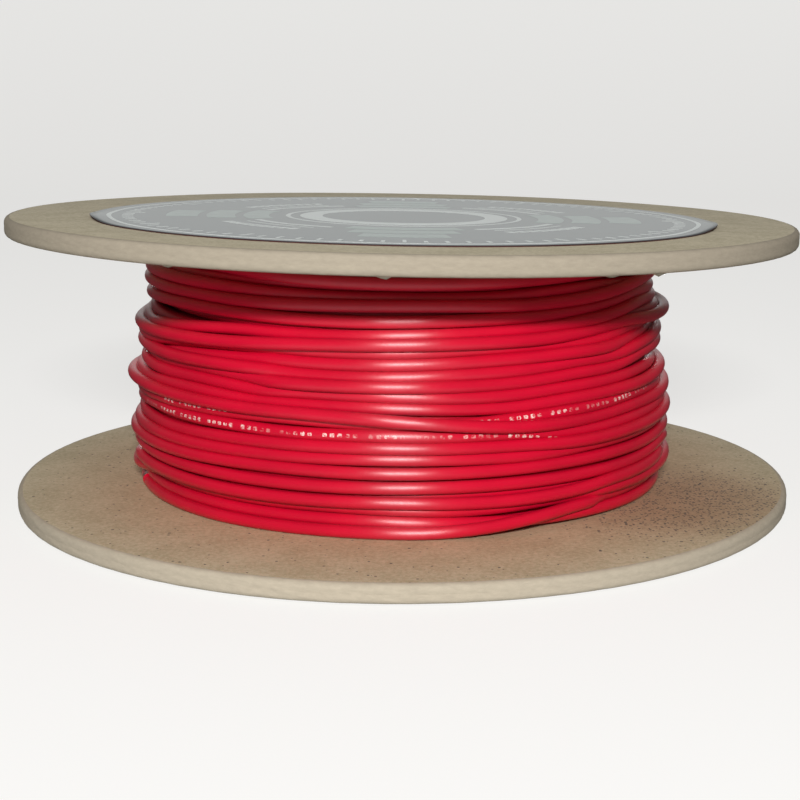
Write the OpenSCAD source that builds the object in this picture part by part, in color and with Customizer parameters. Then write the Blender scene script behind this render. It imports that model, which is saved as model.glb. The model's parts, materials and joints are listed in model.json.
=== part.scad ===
// Wire spool: two laminated chipboard flanges on a paper core tube, wound with
// insulated hook-up wire. Millimetres, +Z up along the spool's axis, and the
// origin at the centre of the lower flange's underside.

/* [Flanges] */
// Diameter of each flange
flange_d = 139.7; // [90:0.1:300]
// Thickness of each of a flange's two chipboard plies
ply_t = 1.3; // [0.8:0.1:4]
// Thickness of the kraft paper liner on each face of a flange
liner_t = 0.3; // [0.2:0.05:0.6]
// Radius that rounds both edges of a flange's rim
rim_round = 0.9; // [0.4:0.1:1.2]
// Gap between the inner faces of the flanges at the axis
traverse = 43.6; // [25:0.1:120]
// Lean of the upper flange about Y, which lowers its +X side (degrees)
upper_lean = 0.96; // [0:0.02:1.2]
// Diameter of the arbor hole, drilled through both flanges and both hub discs
arbor_d = 16; // [8:0.5:30]
// Distance from the arbor hole's edge back to the edge of each paper liner
liner_back = 0.5; // [0.3:0.1:2]

/* [Core] */
// Outer diameter of the paper core tube
core_d = 76.2; // [50:0.1:88]
// Wall of the core tube
core_wall = 3.2; // [1.6:0.1:5]
// Thickness of the hub disc glued inside each end of the core tube
hub_t = 6.3; // [3:0.1:10]
// Gap all round between a hub disc and the core tube
hub_clear = 0.3; // [0.25:0.05:0.6]
// Height and width of the glue bead where a hub disc meets the tube
bead = 2; // [1:0.1:3]

/* [Wire] */
// Diameter of the wire over its insulation
wire_d = 2.03; // [1.2:0.01:3.2]
// Layers of wire under the outer one
inner_layers = 4; // [1:1:8]
// Rise from one layer to the next, a little under the wire's diameter
layer_rise = 1.95; // [1:0.01:3]
// Height of the crests that the outer layer makes where it rides over crossings
lay_wave = 0.7; // [0:0.05:1.2]
// Number of those crests from flange to flange
lay_crests = 5; // [1:1:8]
// Least gap kept between neighbouring turns of the outer layer
turn_gap = 0.45; // [0.42:0.01:2]
// Gap between the outer layer's end turns and the flanges
flange_clear = 0.3; // [0.2:0.05:1]
// Direction of the wire's cut end, seen from above (degrees from +X)
end_angle = 100; // [60:1:120]

/* [Wire end] */
// Number of copper strands round the middle one, first ring and second ring
strand_rings = [5, 10];
// Diameter of one copper strand
strand_d = 0.25; // [0.1:0.01:0.3]
// Length of bare conductor that shows past the insulation
strand_out = 2; // [1:0.1:6]
// Width of the tape that holds the wire's end
tape_w = 9; // [5:0.5:12]
// Length of the tape round the winding
tape_l = 42; // [20:1:80]
// Thickness of the tape
tape_t = 0.15; // [0.1:0.01:0.3]

/* [Label] */
// Diameter of the round label on the upper flange
label_d = 110; // [40:1:126]
// Thickness of the label
label_t = 0.15; // [0.1:0.01:0.3]
// Distance of the label's centre from the axis along X
label_x = 0.3; // [-4:0.1:4]
// Distance of the label's centre from the axis along Y
label_y = -3.6; // [-4:0.1:4]

/* [Hidden] */

$fn = 96;
flange_r = flange_d / 2;
flange_t = 2 * (ply_t + liner_t);
lower_face = flange_t;                    // inner face of the lower flange
upper_face = flange_t + traverse;         // inner face of the upper flange, at the axis
core_r = core_d / 2;
core_in_r = core_r - core_wall;
hub_r = core_in_r - hub_clear;
rim_steps = 5;                            // flats along each rounded rim edge

// Outer layer: turns are counted from the room between the flanges
wire_r = wire_d / 2;
loop_rings = 24;
tube_sides = 6;
max_loops = 24;
layer_r = core_r + wire_r + inner_layers * layer_rise;
first_z = lower_face + flange_clear + wire_r;
lean_drop = tan(upper_lean);              // fall of the upper flange per millimetre of X
outer_reach = layer_r + lay_wave + wire_r;
climb = traverse - 2 * flange_clear - wire_d - lean_drop * outer_reach;
loops = min(max_loops, floor(climb / (wire_d + turn_gap)));
tube_cut = 360 / loop_rings;
// The winding's straight stretches between rings dip towards the axis
under_r = (layer_r - lay_wave) * cos(tube_cut / 2) - wire_r - 0.1;
stub_angle = 30;                          // last stretch of the layer below, before the climb
tape_r = outer_reach + 0.1;

function radial(a) = [cos(a), sin(a), 0];
function tangent(a) = [-sin(a), cos(a), 0];
function unit(v) = v / norm(v);

// Height of a turn at share s of the climb, over a point x from the axis
function turn_z(s, x) =
    first_z + s * (upper_face - lean_drop * x - flange_clear - wire_r - first_z);
function turn_r(s) = layer_r - lay_wave * cos(360 * lay_crests * s);
function turn_point(a, s) =
    turn_r(s) * radial(a) + [0, 0, turn_z(s, turn_r(s) * cos(a))];

// Centreline from the layer below to the cut end, with a straight run at each end
start_point = turn_point(end_angle, 0);
last_point = turn_point(end_angle, 1);
wire_line = concat(
    [start_point, start_point + wire_d * tangent(end_angle)],
    [for (i = [1 : loops * loop_rings - 1])
        turn_point(end_angle + i * tube_cut, i / (loops * loop_rings))],
    [last_point, last_point + wire_d * tangent(end_angle)]
);
wire_end = wire_line[len(wire_line) - 1];

// Least gap of the outer layer to itself, between points over half a turn apart
wire_gap = min([
    for (i = [0 : len(wire_line) - 1])
        for (j = [i + loop_rings / 2 : 1 : len(wire_line) - 1])
            norm(wire_line[j] - wire_line[i])
]) - wire_d;
echo(str("outer layer: ", loops, " loops, least gap to itself ", wire_gap, " mm"));

// Radius of the rim at height z above a flange's lower face
function rim_depth(z) = min(z, flange_t - z);
function rim_r(z) =
    rim_depth(z) >= rim_round ? flange_r
    : flange_r - rim_round + sqrt(pow(rim_round, 2) - pow(rim_round - rim_depth(z), 2));

// One layer of a flange, from height z0 to z1
module flange_layer(z0, z1) {
    rim = [for (i = [0 : rim_steps])
        let (z = z0 + (z1 - z0) * i / rim_steps) [rim_r(z), z]];
    rotate_extrude() polygon(concat([[0, z0]], rim, [[0, z1]]));
}

// Cuts a hole along the spool's axis, which the lean of a flange doesn't follow
module drilled(d) {
    difference() {
        children();
        translate([0, 0, -1]) cylinder(d = d, h = upper_face + flange_t + 2);
    }
}

module liner(z0, z1) { drilled(arbor_d + 2 * liner_back) flange_layer(z0, z1); }

module upper_liner(z0, z1) {
    drilled(arbor_d + 2 * liner_back) at_upper_face() flange_layer(z0, z1);
}

// Places a flange's or hub's layers at the upper end, leaning with the tube's end
module at_upper_face() {
    translate([0, 0, upper_face]) rotate([0, upper_lean, 0]) children();
}

module ring(r_out, r_in, h) {
    difference() {
        cylinder(r = r_out, h = h);
        translate([0, 0, -1]) cylinder(r = r_in, h = h + 2);
    }
}

// A ring from the lower flange up to the leaning upper flange
module ring_between_flanges(r_out, r_in) {
    over = lean_drop * r_out + 1;
    difference() {
        translate([0, 0, lower_face]) ring(r_out, r_in, traverse + over);
        at_upper_face() cylinder(r = r_out + 2, h = 2 * over + 1);
    }
}

module lower_outer_liner() { color("#b39a6e") liner(0, liner_t); }

module lower_outer_ply() {
    color("#cfc3a4") drilled(arbor_d) flange_layer(liner_t, liner_t + ply_t);
}

module lower_inner_ply() {
    color("#cfc3a4") drilled(arbor_d) flange_layer(liner_t + ply_t, flange_t - liner_t);
}

module lower_inner_liner() { color("#b39a6e") liner(flange_t - liner_t, flange_t); }

module upper_inner_liner() { color("#b39a6e") upper_liner(0, liner_t); }

module upper_inner_ply() {
    color("#cfc3a4") drilled(arbor_d) at_upper_face() flange_layer(liner_t, liner_t + ply_t);
}

module upper_outer_ply() {
    color("#cfc3a4") drilled(arbor_d) at_upper_face()
        flange_layer(liner_t + ply_t, flange_t - liner_t);
}

module upper_outer_liner() { color("#b39a6e") upper_liner(flange_t - liner_t, flange_t); }

// The label is stuck on after assembly and closes the arbor hole at this end
module face_label() {
    color("#33383b") at_upper_face()
        translate([label_x, label_y, flange_t]) cylinder(d = label_d, h = label_t);
}

module core_tube() { color("#a98e63") ring_between_flanges(core_r, core_in_r); }

module lower_hub_disc() {
    color("#bda77c") drilled(arbor_d) translate([0, 0, lower_face])
        cylinder(r = hub_r, h = hub_t);
}

module upper_hub_disc() {
    color("#bda77c") drilled(arbor_d) at_upper_face() translate([0, 0, -hub_t])
        cylinder(r = hub_r, h = hub_t);
}

// Squeezed-out glue in the corner between a hub disc and the tube
module glue_bead() {
    bead_r = core_in_r - hub_clear / 2;
    rotate_extrude()
        polygon([[bead_r - bead, 0], [bead_r, 0], [bead_r, bead]]);
}

module lower_glue_bead() {
    color("#e9e2c8") translate([0, 0, lower_face + hub_t]) glue_bead();
}

module upper_glue_bead() {
    color("#e9e2c8") at_upper_face() translate([0, 0, -hub_t]) mirror([0, 0, 1]) glue_bead();
}

// The layers under the outer one, as a plain ring, and the stretch of wire that
// rises out of them at the lower flange and meets the outer layer's start
module wire_inner_layers() {
    color("#8e1022") {
        ring_between_flanges(under_r, core_r);
        rotate([0, 0, end_angle - stub_angle]) rotate_extrude(angle = stub_angle) {
            translate([turn_r(0), first_z]) circle(r = wire_r, $fn = 24);
            translate([under_r - 1, first_z - wire_r / 2])
                square([turn_r(0) - under_r + 1, wire_r]);
        }
    }
}

function ring_points(p, ahead, out) =
    let (side = unit(cross(ahead, out)), up = cross(side, ahead))
    [for (k = [0 : tube_sides - 1])
        p + wire_r * (cos(360 * k / tube_sides) * up + sin(360 * k / tube_sides) * side)];

// One closed tube along a line of points that runs round the axis
module swept_tube(line) {
    last = len(line) - 1;
    points = [for (i = [0 : last])
        each ring_points(
            line[i],
            unit(line[min(i + 1, last)] - line[max(i - 1, 0)]),
            unit([line[i][0], line[i][1], 0]))];
    walls = [for (i = [0 : last - 1]) for (k = [0 : tube_sides - 1])
        let (a = i * tube_sides + k, b = i * tube_sides + (k + 1) % tube_sides)
        each [[a, b, a + tube_sides], [b, b + tube_sides, a + tube_sides]]];
    first_cap = [for (k = [1 : tube_sides - 2]) [0, k + 1, k]];
    end0 = last * tube_sides;
    last_cap = [for (k = [1 : tube_sides - 2]) [end0, end0 + k, end0 + k + 1]];
    polyhedron(points = points, faces = concat(walls, first_cap, last_cap));
}

module wire_outer_layer() { color("#d81c38") swept_tube(wire_line); }

// Bare conductor past the cut insulation: a middle strand and two rings of strands
module wire_end_strands() {
    color("#c87b4a") translate(wire_end) rotate([0, 0, end_angle]) rotate([-90, 0, 0]) {
        cylinder(d = strand_d, h = strand_out, $fn = 16);
        for (k = [0 : len(strand_rings) - 1])
            for (i = [0 : strand_rings[k] - 1])
                rotate([0, 0, 360 * i / strand_rings[k]])
                    translate([(k + 1) * (strand_d + 0.03), 0, 0])
                        cylinder(d = strand_d, h = strand_out, $fn = 16);
    }
}

// Clear tape that lies over the wire's last stretch and the turns beside it
module end_tape() {
    sweep = tape_l / tape_r * 180 / PI;
    top = upper_face - lean_drop * tape_r * cos(end_angle - sweep) - 2 * flange_clear;
    color("#e8e4d4") rotate([0, 0, end_angle - sweep]) rotate_extrude(angle = sweep)
        translate([tape_r, top - tape_w]) square([tape_t, tape_w]);
}

lower_outer_liner();
lower_outer_ply();
lower_inner_ply();
lower_inner_liner();
upper_inner_liner();
upper_inner_ply();
upper_outer_ply();
upper_outer_liner();
face_label();
core_tube();
lower_hub_disc();
upper_hub_disc();
lower_glue_bead();
upper_glue_bead();
wire_inner_layers();
wire_outer_layer();
wire_end_strands();
end_tape();
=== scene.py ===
"""Looks of a wire spool: chipboard flanges, paper core and a full winding of red wire.

The packed frame gives the places and sizes. Shapes are worked out in millimetres and
handed to Blender in metres. The spool's axis is Z, and its front is -Y.
"""

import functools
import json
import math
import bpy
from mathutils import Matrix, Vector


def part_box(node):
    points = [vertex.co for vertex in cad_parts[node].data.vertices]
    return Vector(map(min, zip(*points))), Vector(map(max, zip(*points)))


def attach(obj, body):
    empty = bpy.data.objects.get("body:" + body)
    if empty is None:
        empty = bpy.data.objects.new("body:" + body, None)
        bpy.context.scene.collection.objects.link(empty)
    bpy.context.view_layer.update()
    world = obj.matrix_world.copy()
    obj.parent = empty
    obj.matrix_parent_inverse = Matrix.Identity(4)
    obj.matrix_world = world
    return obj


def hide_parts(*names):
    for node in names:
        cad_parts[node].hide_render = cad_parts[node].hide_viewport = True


bl_info = {
    "name": "Wire Spool",
    "version": (1, 0, 0),
    "blender": (4, 5, 0),
    "location": "3D View > Sidebar > Wire Spool",
    "description": "Builds a chipboard spool wound with red hook-up wire",
    "category": "Add Mesh",
}

import bpy
import numpy as np
from bpy.props import FloatProperty, FloatVectorProperty, IntProperty, PointerProperty
from bpy.types import Operator, Panel, PropertyGroup
from mathutils import Vector

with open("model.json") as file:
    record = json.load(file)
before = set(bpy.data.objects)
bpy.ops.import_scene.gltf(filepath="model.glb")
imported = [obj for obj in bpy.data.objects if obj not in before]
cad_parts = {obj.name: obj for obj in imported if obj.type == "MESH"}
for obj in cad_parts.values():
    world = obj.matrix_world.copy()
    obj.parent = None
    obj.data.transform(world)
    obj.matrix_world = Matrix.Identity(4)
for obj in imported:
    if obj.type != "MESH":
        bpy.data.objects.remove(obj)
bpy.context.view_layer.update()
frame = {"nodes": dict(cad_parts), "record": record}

MM = 0.001
BODY = "root"
FRONT = -math.pi / 2  # direction of the spool's front, seen from its axis
FULL_TURN = 2 * math.pi


# ---------------------------------------------------------------- frame sizes


def box_mm(node):
    """Lowest and highest corner of a node, in millimetres."""
    low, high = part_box(node)
    return np.array(low) / MM, np.array(high) / MM


def points_mm(node):
    """The corner points of a node's mesh, in millimetres."""
    mesh = frame["nodes"][node].data
    points = np.empty(len(mesh.vertices) * 3)
    mesh.vertices.foreach_get("co", points)
    return points.reshape(-1, 3) / MM


def leaning_plane(node):
    """Height on the axis and fall per millimetre of X of a thin leaning disc's middle."""
    points = points_mm(node)
    fit = np.polyfit(points[:, 0], points[:, 2], 1)
    return fit[1], -fit[0]


FLANGE_R = box_mm("lower_outer_ply")[1][1]
LINER_T = box_mm("lower_outer_liner")[1][2]
FLANGE_T = box_mm("lower_inner_liner")[1][2]
LEAN = leaning_plane("upper_inner_liner")[1]
UPPER_Z = leaning_plane("upper_inner_liner")[0] - LINER_T / 2
CORE_R = box_mm("core_tube")[1][1]
BORE_R = frame["record"]["mounts"][0]["dims"]["r_mm"]


# ------------------------------------------------------------------- settings


def linear(hex_colour):
    """An sRGB hex colour as the linear RGBA that Blender's sockets take."""
    shares = [int(hex_colour[i : i + 2], 16) / 255 for i in (1, 3, 5)]
    return [s / 12.92 if s <= 0.04045 else ((s + 0.055) / 1.055) ** 2.4 for s in shares] + [1.0]


def shaded(colour, factor):
    """A linear colour made darker or paler by a factor."""
    return [channel * factor for channel in colour[:3]] + [1.0]


def length_setting(name, description, millimetres):
    """A length property, given in millimetres and kept in metres."""
    return FloatProperty(
        name=name,
        description=description,
        default=millimetres * MM,
        min=0,
        precision=5,
        subtype="DISTANCE",
        unit="LENGTH",
    )


def colour_setting(name, description, hex_colour):
    """A colour property, given as an sRGB hex value."""
    return FloatVectorProperty(
        name=name,
        description=description,
        default=linear(hex_colour),
        size=4,
        min=0,
        max=1,
        subtype="COLOR",
    )


class SpoolColours(PropertyGroup):
    """Colours of the spool's finishes."""

    kraft: colour_setting("Kraft liner", "Paper on the flanges' faces", "#c6b898")
    kraft_dark: colour_setting("Kraft liner, dark", "Darker fibres of the same paper", "#ab9d7a")
    board: colour_setting("Chipboard", "Cut edge of the flanges", "#b0a491")
    insulation: colour_setting("Insulation", "PVC of the wire", "#ca082d")
    legend: colour_setting("Legend", "Ink of the marks printed along the wire", "#fbf3ea")
    label: colour_setting("Label", "Ground colour of the laminated label", "#2c3134")
    label_marks: colour_setting("Label marks", "Pale marks printed on the label", "#e2e8e4")
    label_tint: colour_setting("Label tint", "Grey-green shapes printed on the label", "#8fa39a")
    tube: colour_setting("Core tube", "Grey-brown recycled paper", "#8f7a5c")
    hub: colour_setting("Hub board", "Solid board of the hub discs", "#a8946f")
    glue: colour_setting("Dried glue", "White glue, dried yellowish", "#d9cfae")
    copper: colour_setting("Copper", "Bare strands", "#d9895f")
    tape: colour_setting("Tape", "Clear tape, slightly yellow", "#efe9d6")


class FlangeSettings(PropertyGroup):
    """Shape of the flanges' cut rims and faces."""

    rim_round: length_setting("Rim rounding", "Radius that rounds both edges of a rim", 0.9)
    groove: length_setting("Ply groove", "Depth of the line between a flange's two plies", 0.05)
    ragged: length_setting("Ragged rim", "How far the cut rim strays in and out", 0.07)
    warp: length_setting("Warp", "How far a flange's outer part waves up and down", 0.12)


class WindingSettings(PropertyGroup):
    """Size and lay of the wire."""

    wire_d: length_setting("Wire", "Diameter of the wire over its insulation", 2.03)
    seed: IntProperty(name="Lay", description="Picks how the turns stray", default=5, min=0)


class LabelSettings(PropertyGroup):
    """Design and fit of the round label."""

    lift: length_setting("Lifted edge", "Height of the label's edge where it has come loose", 0.45)
    ticks: IntProperty(name="Ticks", description="Marks in the label's outer ring", default=96)


class StageSettings(PropertyGroup):
    """Light, floor and camera."""

    lens: FloatProperty(name="Lens", description="Focal length (mm)", default=67.9, min=1)
    key: FloatProperty(name="Key light", description="Power in front", default=5.2, unit="POWER")
    back: FloatProperty(name="Back light", description="Power behind", default=1.2, unit="POWER")
    fill: FloatProperty(name="Fill", description="Strength of the light from above", default=0.16)
    below: FloatProperty(name="Below", description="Strength of the light from below", default=0.06)
    behind: FloatProperty(name="Behind", description="Strength of the light behind", default=0.6)
    front: FloatProperty(name="Front", description="Strength of the light in front", default=0.95)
    floor: colour_setting("Floor", "Pale floor", "#f4f3f1")


# ------------------------------------------------------------ nodes and meshes

MATH, VECTOR_MATH, RANGE = "ShaderNodeMath", "ShaderNodeVectorMath", "ShaderNodeMapRange"
NOISE, BUMP = "ShaderNodeTexNoise", "ShaderNodeBump"
MIX = "ShaderNodeMix"  # of two colours: share at input 0, colours at 6 and 7, result at output 2
NOISE_SPAN = {"From Min": 0.3, "From Max": 0.7}  # most of a noise lies between these


def add_node(material, kind, inputs=None, **settings):
    """Adds a node. Each input is a value, an output socket, or a node for its first output."""
    node = material.node_tree.nodes.new(kind)
    for name, value in settings.items():
        setattr(node, name, value)
    for key, value in (inputs or {}).items():
        if isinstance(value, bpy.types.Node):
            value = value.outputs[0]
        if isinstance(value, bpy.types.NodeSocket):
            material.node_tree.links.new(value, node.inputs[key])
        else:
            node.inputs[key].default_value = value
    return node


def new_material(name):
    """A material with an empty tree."""
    material = bpy.data.materials.new(name)
    material.use_nodes = True
    material.node_tree.nodes.clear()
    return material


def finished(material, shader_inputs):
    """Ends a material's tree with its surface shader."""
    shader = add_node(material, "ShaderNodeBsdfPrincipled", shader_inputs)
    add_node(material, "ShaderNodeOutputMaterial", {"Surface": shader})
    return material


def grain(size_mm):
    """Texture scale, in object coordinates, that gives features of a real size."""
    return 1 / (size_mm * MM)


def grid_quads(rows, columns, wrap_rows=False, wrap_columns=False):
    """Four-cornered faces between the neighbours of a grid of points."""
    row, column = np.meshgrid(
        np.arange(rows if wrap_rows else rows - 1),
        np.arange(columns if wrap_columns else columns - 1),
        indexing="ij",
    )
    next_row, next_column = (row + 1) % rows, (column + 1) % columns
    corners = [
        row * columns + column,
        next_row * columns + column,
        next_row * columns + next_column,
        row * columns + next_column,
    ]
    return np.stack(corners, axis=-1).reshape(-1, 4)


def tube_faces(rings, sides):
    """Faces of a tube made of rings of points, closed at both ends."""
    last = (rings - 1) * sides
    ends = [list(range(sides))[::-1], [last + k for k in range(sides)]]
    return grid_quads(rings, sides, wrap_columns=True).tolist() + ends


def add_piece(name, materials, parts, replaced=(), smooth=True, uvs=None, face_slots=None):
    """Makes one piece from (points in mm, faces) parts, puts it on the spool's body and hides the
    nodes it replaces.
    """
    points, faces = [], []
    for part_points, part_faces in parts:
        start = len(points)
        points.extend((np.asarray(part_points) * MM).tolist())
        faces.extend([[corner + start for corner in face] for face in part_faces])
    mesh = bpy.data.meshes.new(name)
    mesh.from_pydata(points, [], faces)
    for material in materials:
        mesh.materials.append(material)
    if uvs is not None:
        mesh.uv_layers.new(name="wire").data.foreach_set("uv", uvs.ravel())
    if face_slots is not None:
        mesh.polygons.foreach_set("material_index", face_slots)
    # Cut ends, which have more corners, stay flat, so the sides next to them keep their shade
    mesh.polygons.foreach_set("use_smooth", [smooth and len(face) == 4 for face in faces])
    mesh.validate()
    mesh.update()
    piece = bpy.data.objects.new(name, mesh)
    bpy.context.scene.collection.objects.link(piece)
    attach(piece, BODY)
    if replaced:
        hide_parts(*replaced)


def paint_node(node, material):
    """Gives a CAD node that stays its finish."""
    materials = frame["nodes"][node].data.materials
    materials.clear()
    materials.append(material)


def bump_at(angles, centre, half_width):
    """A smooth rise from 0 to 1 and back, round one direction."""
    away = (angles - centre + math.pi) % FULL_TURN - math.pi
    return np.where(np.abs(away) < half_width, 0.5 + 0.5 * np.cos(math.pi * away / half_width), 0.0)


def hump(away):
    """1 where away is 0, falling smoothly to 0 where it is 1 or more."""
    return 0.5 + 0.5 * np.cos(math.pi * np.clip(away, 0, 1))


def wobble(phase, rng, count, slowest, fastest, whole=False):
    """A smooth random curve of about unit height. With whole, it closes after phase 1."""
    curve = np.zeros_like(phase, dtype=float)
    for _ in range(count):
        rate = rng.uniform(slowest, fastest)
        rate = round(rate) if whole else rate
        curve += np.sin(FULL_TURN * (rate * phase + rng.uniform()))
    return curve / math.sqrt(count)


# ------------------------------------------------------------------- finishes


def two_tone(material, noise, dark, pale, strength, relief_mm, shader_inputs):
    """Ends a finish in which one noise both blends two colours and raises the surface."""
    share = add_node(material, RANGE, {"Value": noise, **NOISE_SPAN})
    tint = add_node(material, MIX, {0: share, 6: dark, 7: pale}, data_type="RGBA")
    relief = add_node(
        material, BUMP, {"Strength": strength, "Distance": relief_mm * MM, "Height": noise}
    )
    return finished(
        material, {"Base Color": tint.outputs[2], "Normal": relief, **shader_inputs}
    )


def kraft_paper(colours, name="kraft liner paper", specks_and_red_bounce=False):
    """Machine-made kraft paper, unglazed: matt tan with cloudy fibres and a fine tooth."""
    material = new_material(name)
    place = add_node(material, "ShaderNodeTexCoord").outputs["Object"]
    cloud, fibre, tooth = (
        add_node(material, NOISE, {"Vector": place, "Scale": grain(size_mm), **look})
        for size_mm, look in (
            (7, {"Detail": 4.0, "Roughness": 0.6}),
            (0.8, {"Detail": 5.0, "Roughness": 0.8}),
            (0.35, {"Detail": 3.0}),
        )
    )
    blend = add_node(material, MATH, {0: cloud, 1: 0.4, 2: fibre}, operation="MULTIPLY_ADD")
    share = add_node(material, RANGE, {"Value": blend, "From Min": 0.58, "From Max": 0.82})
    dark, pale = list(colours.kraft_dark), list(colours.kraft)
    tint = add_node(material, MIX, {0: share, 6: dark, 7: pale}, data_type="RGBA")
    colour = tint.outputs[2]
    # Dirt specks, and painted red light reflected off the winding
    if specks_and_red_bounce:
        colour = speckled(material, place, painted_red_bounce(material, place, colour))
    relief = add_node(
        material, BUMP, {"Strength": 0.35, "Distance": 0.05 * MM, "Height": tooth}
    )
    return finished(
        material,
        {
            "Base Color": colour,
            "Normal": relief,
            "Roughness": 0.82,
            "IOR": 1.5,
            "Specular IOR Level": 0.35,
            "Sheen Weight": 0.08,
        },
    )


BOUNCE_REACH = (46.0, 69.0)  # radii between which the painted red light, reflected off the winding, fades out, mm
BOUNCE_SHARE = 0.9  # how much of it there is next to the winding
BOUNCE_TINT = "#fadccb"
SPECK_PLACE = (49.0, -25.0)  # middle of the soiled patch on the lower flange, mm
SPECK_REACH = 30.0  # radius of that patch, mm
SPECK_CORE = 0.25  # share of that radius over which the dirt is thickest
SPECK_SHARE = (0.9, 0.04)  # share of the places that hold a speck, in the patch and elsewhere
SPECK_PITCH = 0.55  # distance between these places, mm
SPECK_SIZE = (0.14, 0.5)  # smallest and largest radius of a speck, as a share of the pitch
SPECK_DARK = 0.8  # how far a speck hides the paper


def painted_red_bounce(material, place, colour):
    """Painted light: tints the paper red round the winding, for light reflected off the wire."""
    flat = add_node(
        material, VECTOR_MATH, {0: place, 1: (1.0, 1.0, 0.0)}, operation="MULTIPLY"
    )
    away = add_node(material, VECTOR_MATH, {0: flat}, operation="LENGTH").outputs["Value"]
    near, far = BOUNCE_REACH
    ramp = {"From Min": near * MM, "From Max": far * MM, "To Min": BOUNCE_SHARE, "To Max": 0.0}
    fade = add_node(material, RANGE, {"Value": away, **ramp})
    bounce_tinted = add_node(
        material,
        MIX,
        {0: fade, 6: colour, 7: linear(BOUNCE_TINT)},
        data_type="RGBA",
        blend_type="MULTIPLY",
    )
    return bounce_tinted.outputs[2]


def speckled(material, place, colour):
    """Adds dark specks of dirt, thickest round one place on the flange and rare elsewhere."""
    middle = (SPECK_PLACE[0] * MM, SPECK_PLACE[1] * MM, FLANGE_T * MM)
    patch = add_node(material, VECTOR_MATH, {0: place, 1: middle}, operation="DISTANCE")
    density = add_node(
        material,
        RANGE,
        {
            "Value": patch.outputs["Value"],
            "From Min": SPECK_REACH * SPECK_CORE * MM,
            "From Max": SPECK_REACH * MM,
            "To Min": SPECK_SHARE[0],
            "To Max": SPECK_SHARE[1],
        },
        interpolation_type="SMOOTHSTEP",
    )
    # The paper is also made darker and browner round that place, most where the specks are thickest
    darkened_paper = add_node(
        material,
        MIX,
        {0: density, 6: colour, 7: linear("#dcc6b4")},
        data_type="RGBA",
        blend_type="MULTIPLY",
    )
    spots = add_node(
        material, "ShaderNodeTexVoronoi", {"Vector": place, "Scale": grain(SPECK_PITCH)}
    )
    chosen = add_node(material, "ShaderNodeSeparateColor", {0: spots.outputs["Color"]})
    kept = add_node(material, MATH, {0: chosen, 1: density}, operation="LESS_THAN")
    smallest, largest = SPECK_SIZE
    size = add_node(
        material, RANGE, {"Value": chosen.outputs[1], "To Min": smallest, "To Max": largest}
    )
    inside = add_node(
        material, MATH, {0: spots.outputs["Distance"], 1: size}, operation="LESS_THAN"
    )
    mask = add_node(material, MATH, {0: kept, 1: inside}, operation="MULTIPLY")
    strength = add_node(material, MATH, {0: mask, 1: SPECK_DARK}, operation="MULTIPLY")
    mixed = add_node(
        material,
        MIX,
        {0: strength, 6: darkened_paper.outputs[2], 7: linear("#2b2320")},
        data_type="RGBA",
    )
    return mixed.outputs[2]


def cut_chipboard(colours, name="cut chipboard edge", shade=1.0):
    """Grey-cream chipboard, die cut: pale matt edge with pressed layers that run round it."""
    material = new_material(name)
    place = add_node(material, "ShaderNodeTexCoord").outputs["Object"]
    flat = add_node(material, "ShaderNodeMapping", {"Vector": place, "Scale": (1.0, 1.0, 3.0)})
    look = {"Scale": grain(1.6), "Detail": 6.0, "Roughness": 0.7}
    layers = add_node(material, NOISE, {"Vector": flat, **look})
    # A shade above 1 paints light onto the edge, and below 1 paints shade
    pale = shaded(colours.board, shade)
    surface = {"Roughness": 0.85, "IOR": 1.5, "Specular IOR Level": 0.3}
    return two_tone(material, layers, shaded(pale, 0.84), pale, 0.3, 0.06, surface)


MARK_PITCH = 1.2  # distance between the legend's marks along the wire, mm
MARK_GROUP = 6.0  # places in a group of marks, the last of which stays blank
MARK_LENGTH = 0.3  # half a mark's length, as a share of the pitch
MARK_HEIGHT = 0.058  # half a mark's height, as a share of the wire's girth
MARK_LOWEST = 0.6  # height of the lowest mark, as a share of the highest
LEGEND_REPEAT = 305.0  # the legend is printed once a foot, mm
LEGEND_START = 258.0  # where its first mark stands in each repeat, mm
LEGEND_LENGTH = 104.0  # how far it reaches, mm


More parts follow.
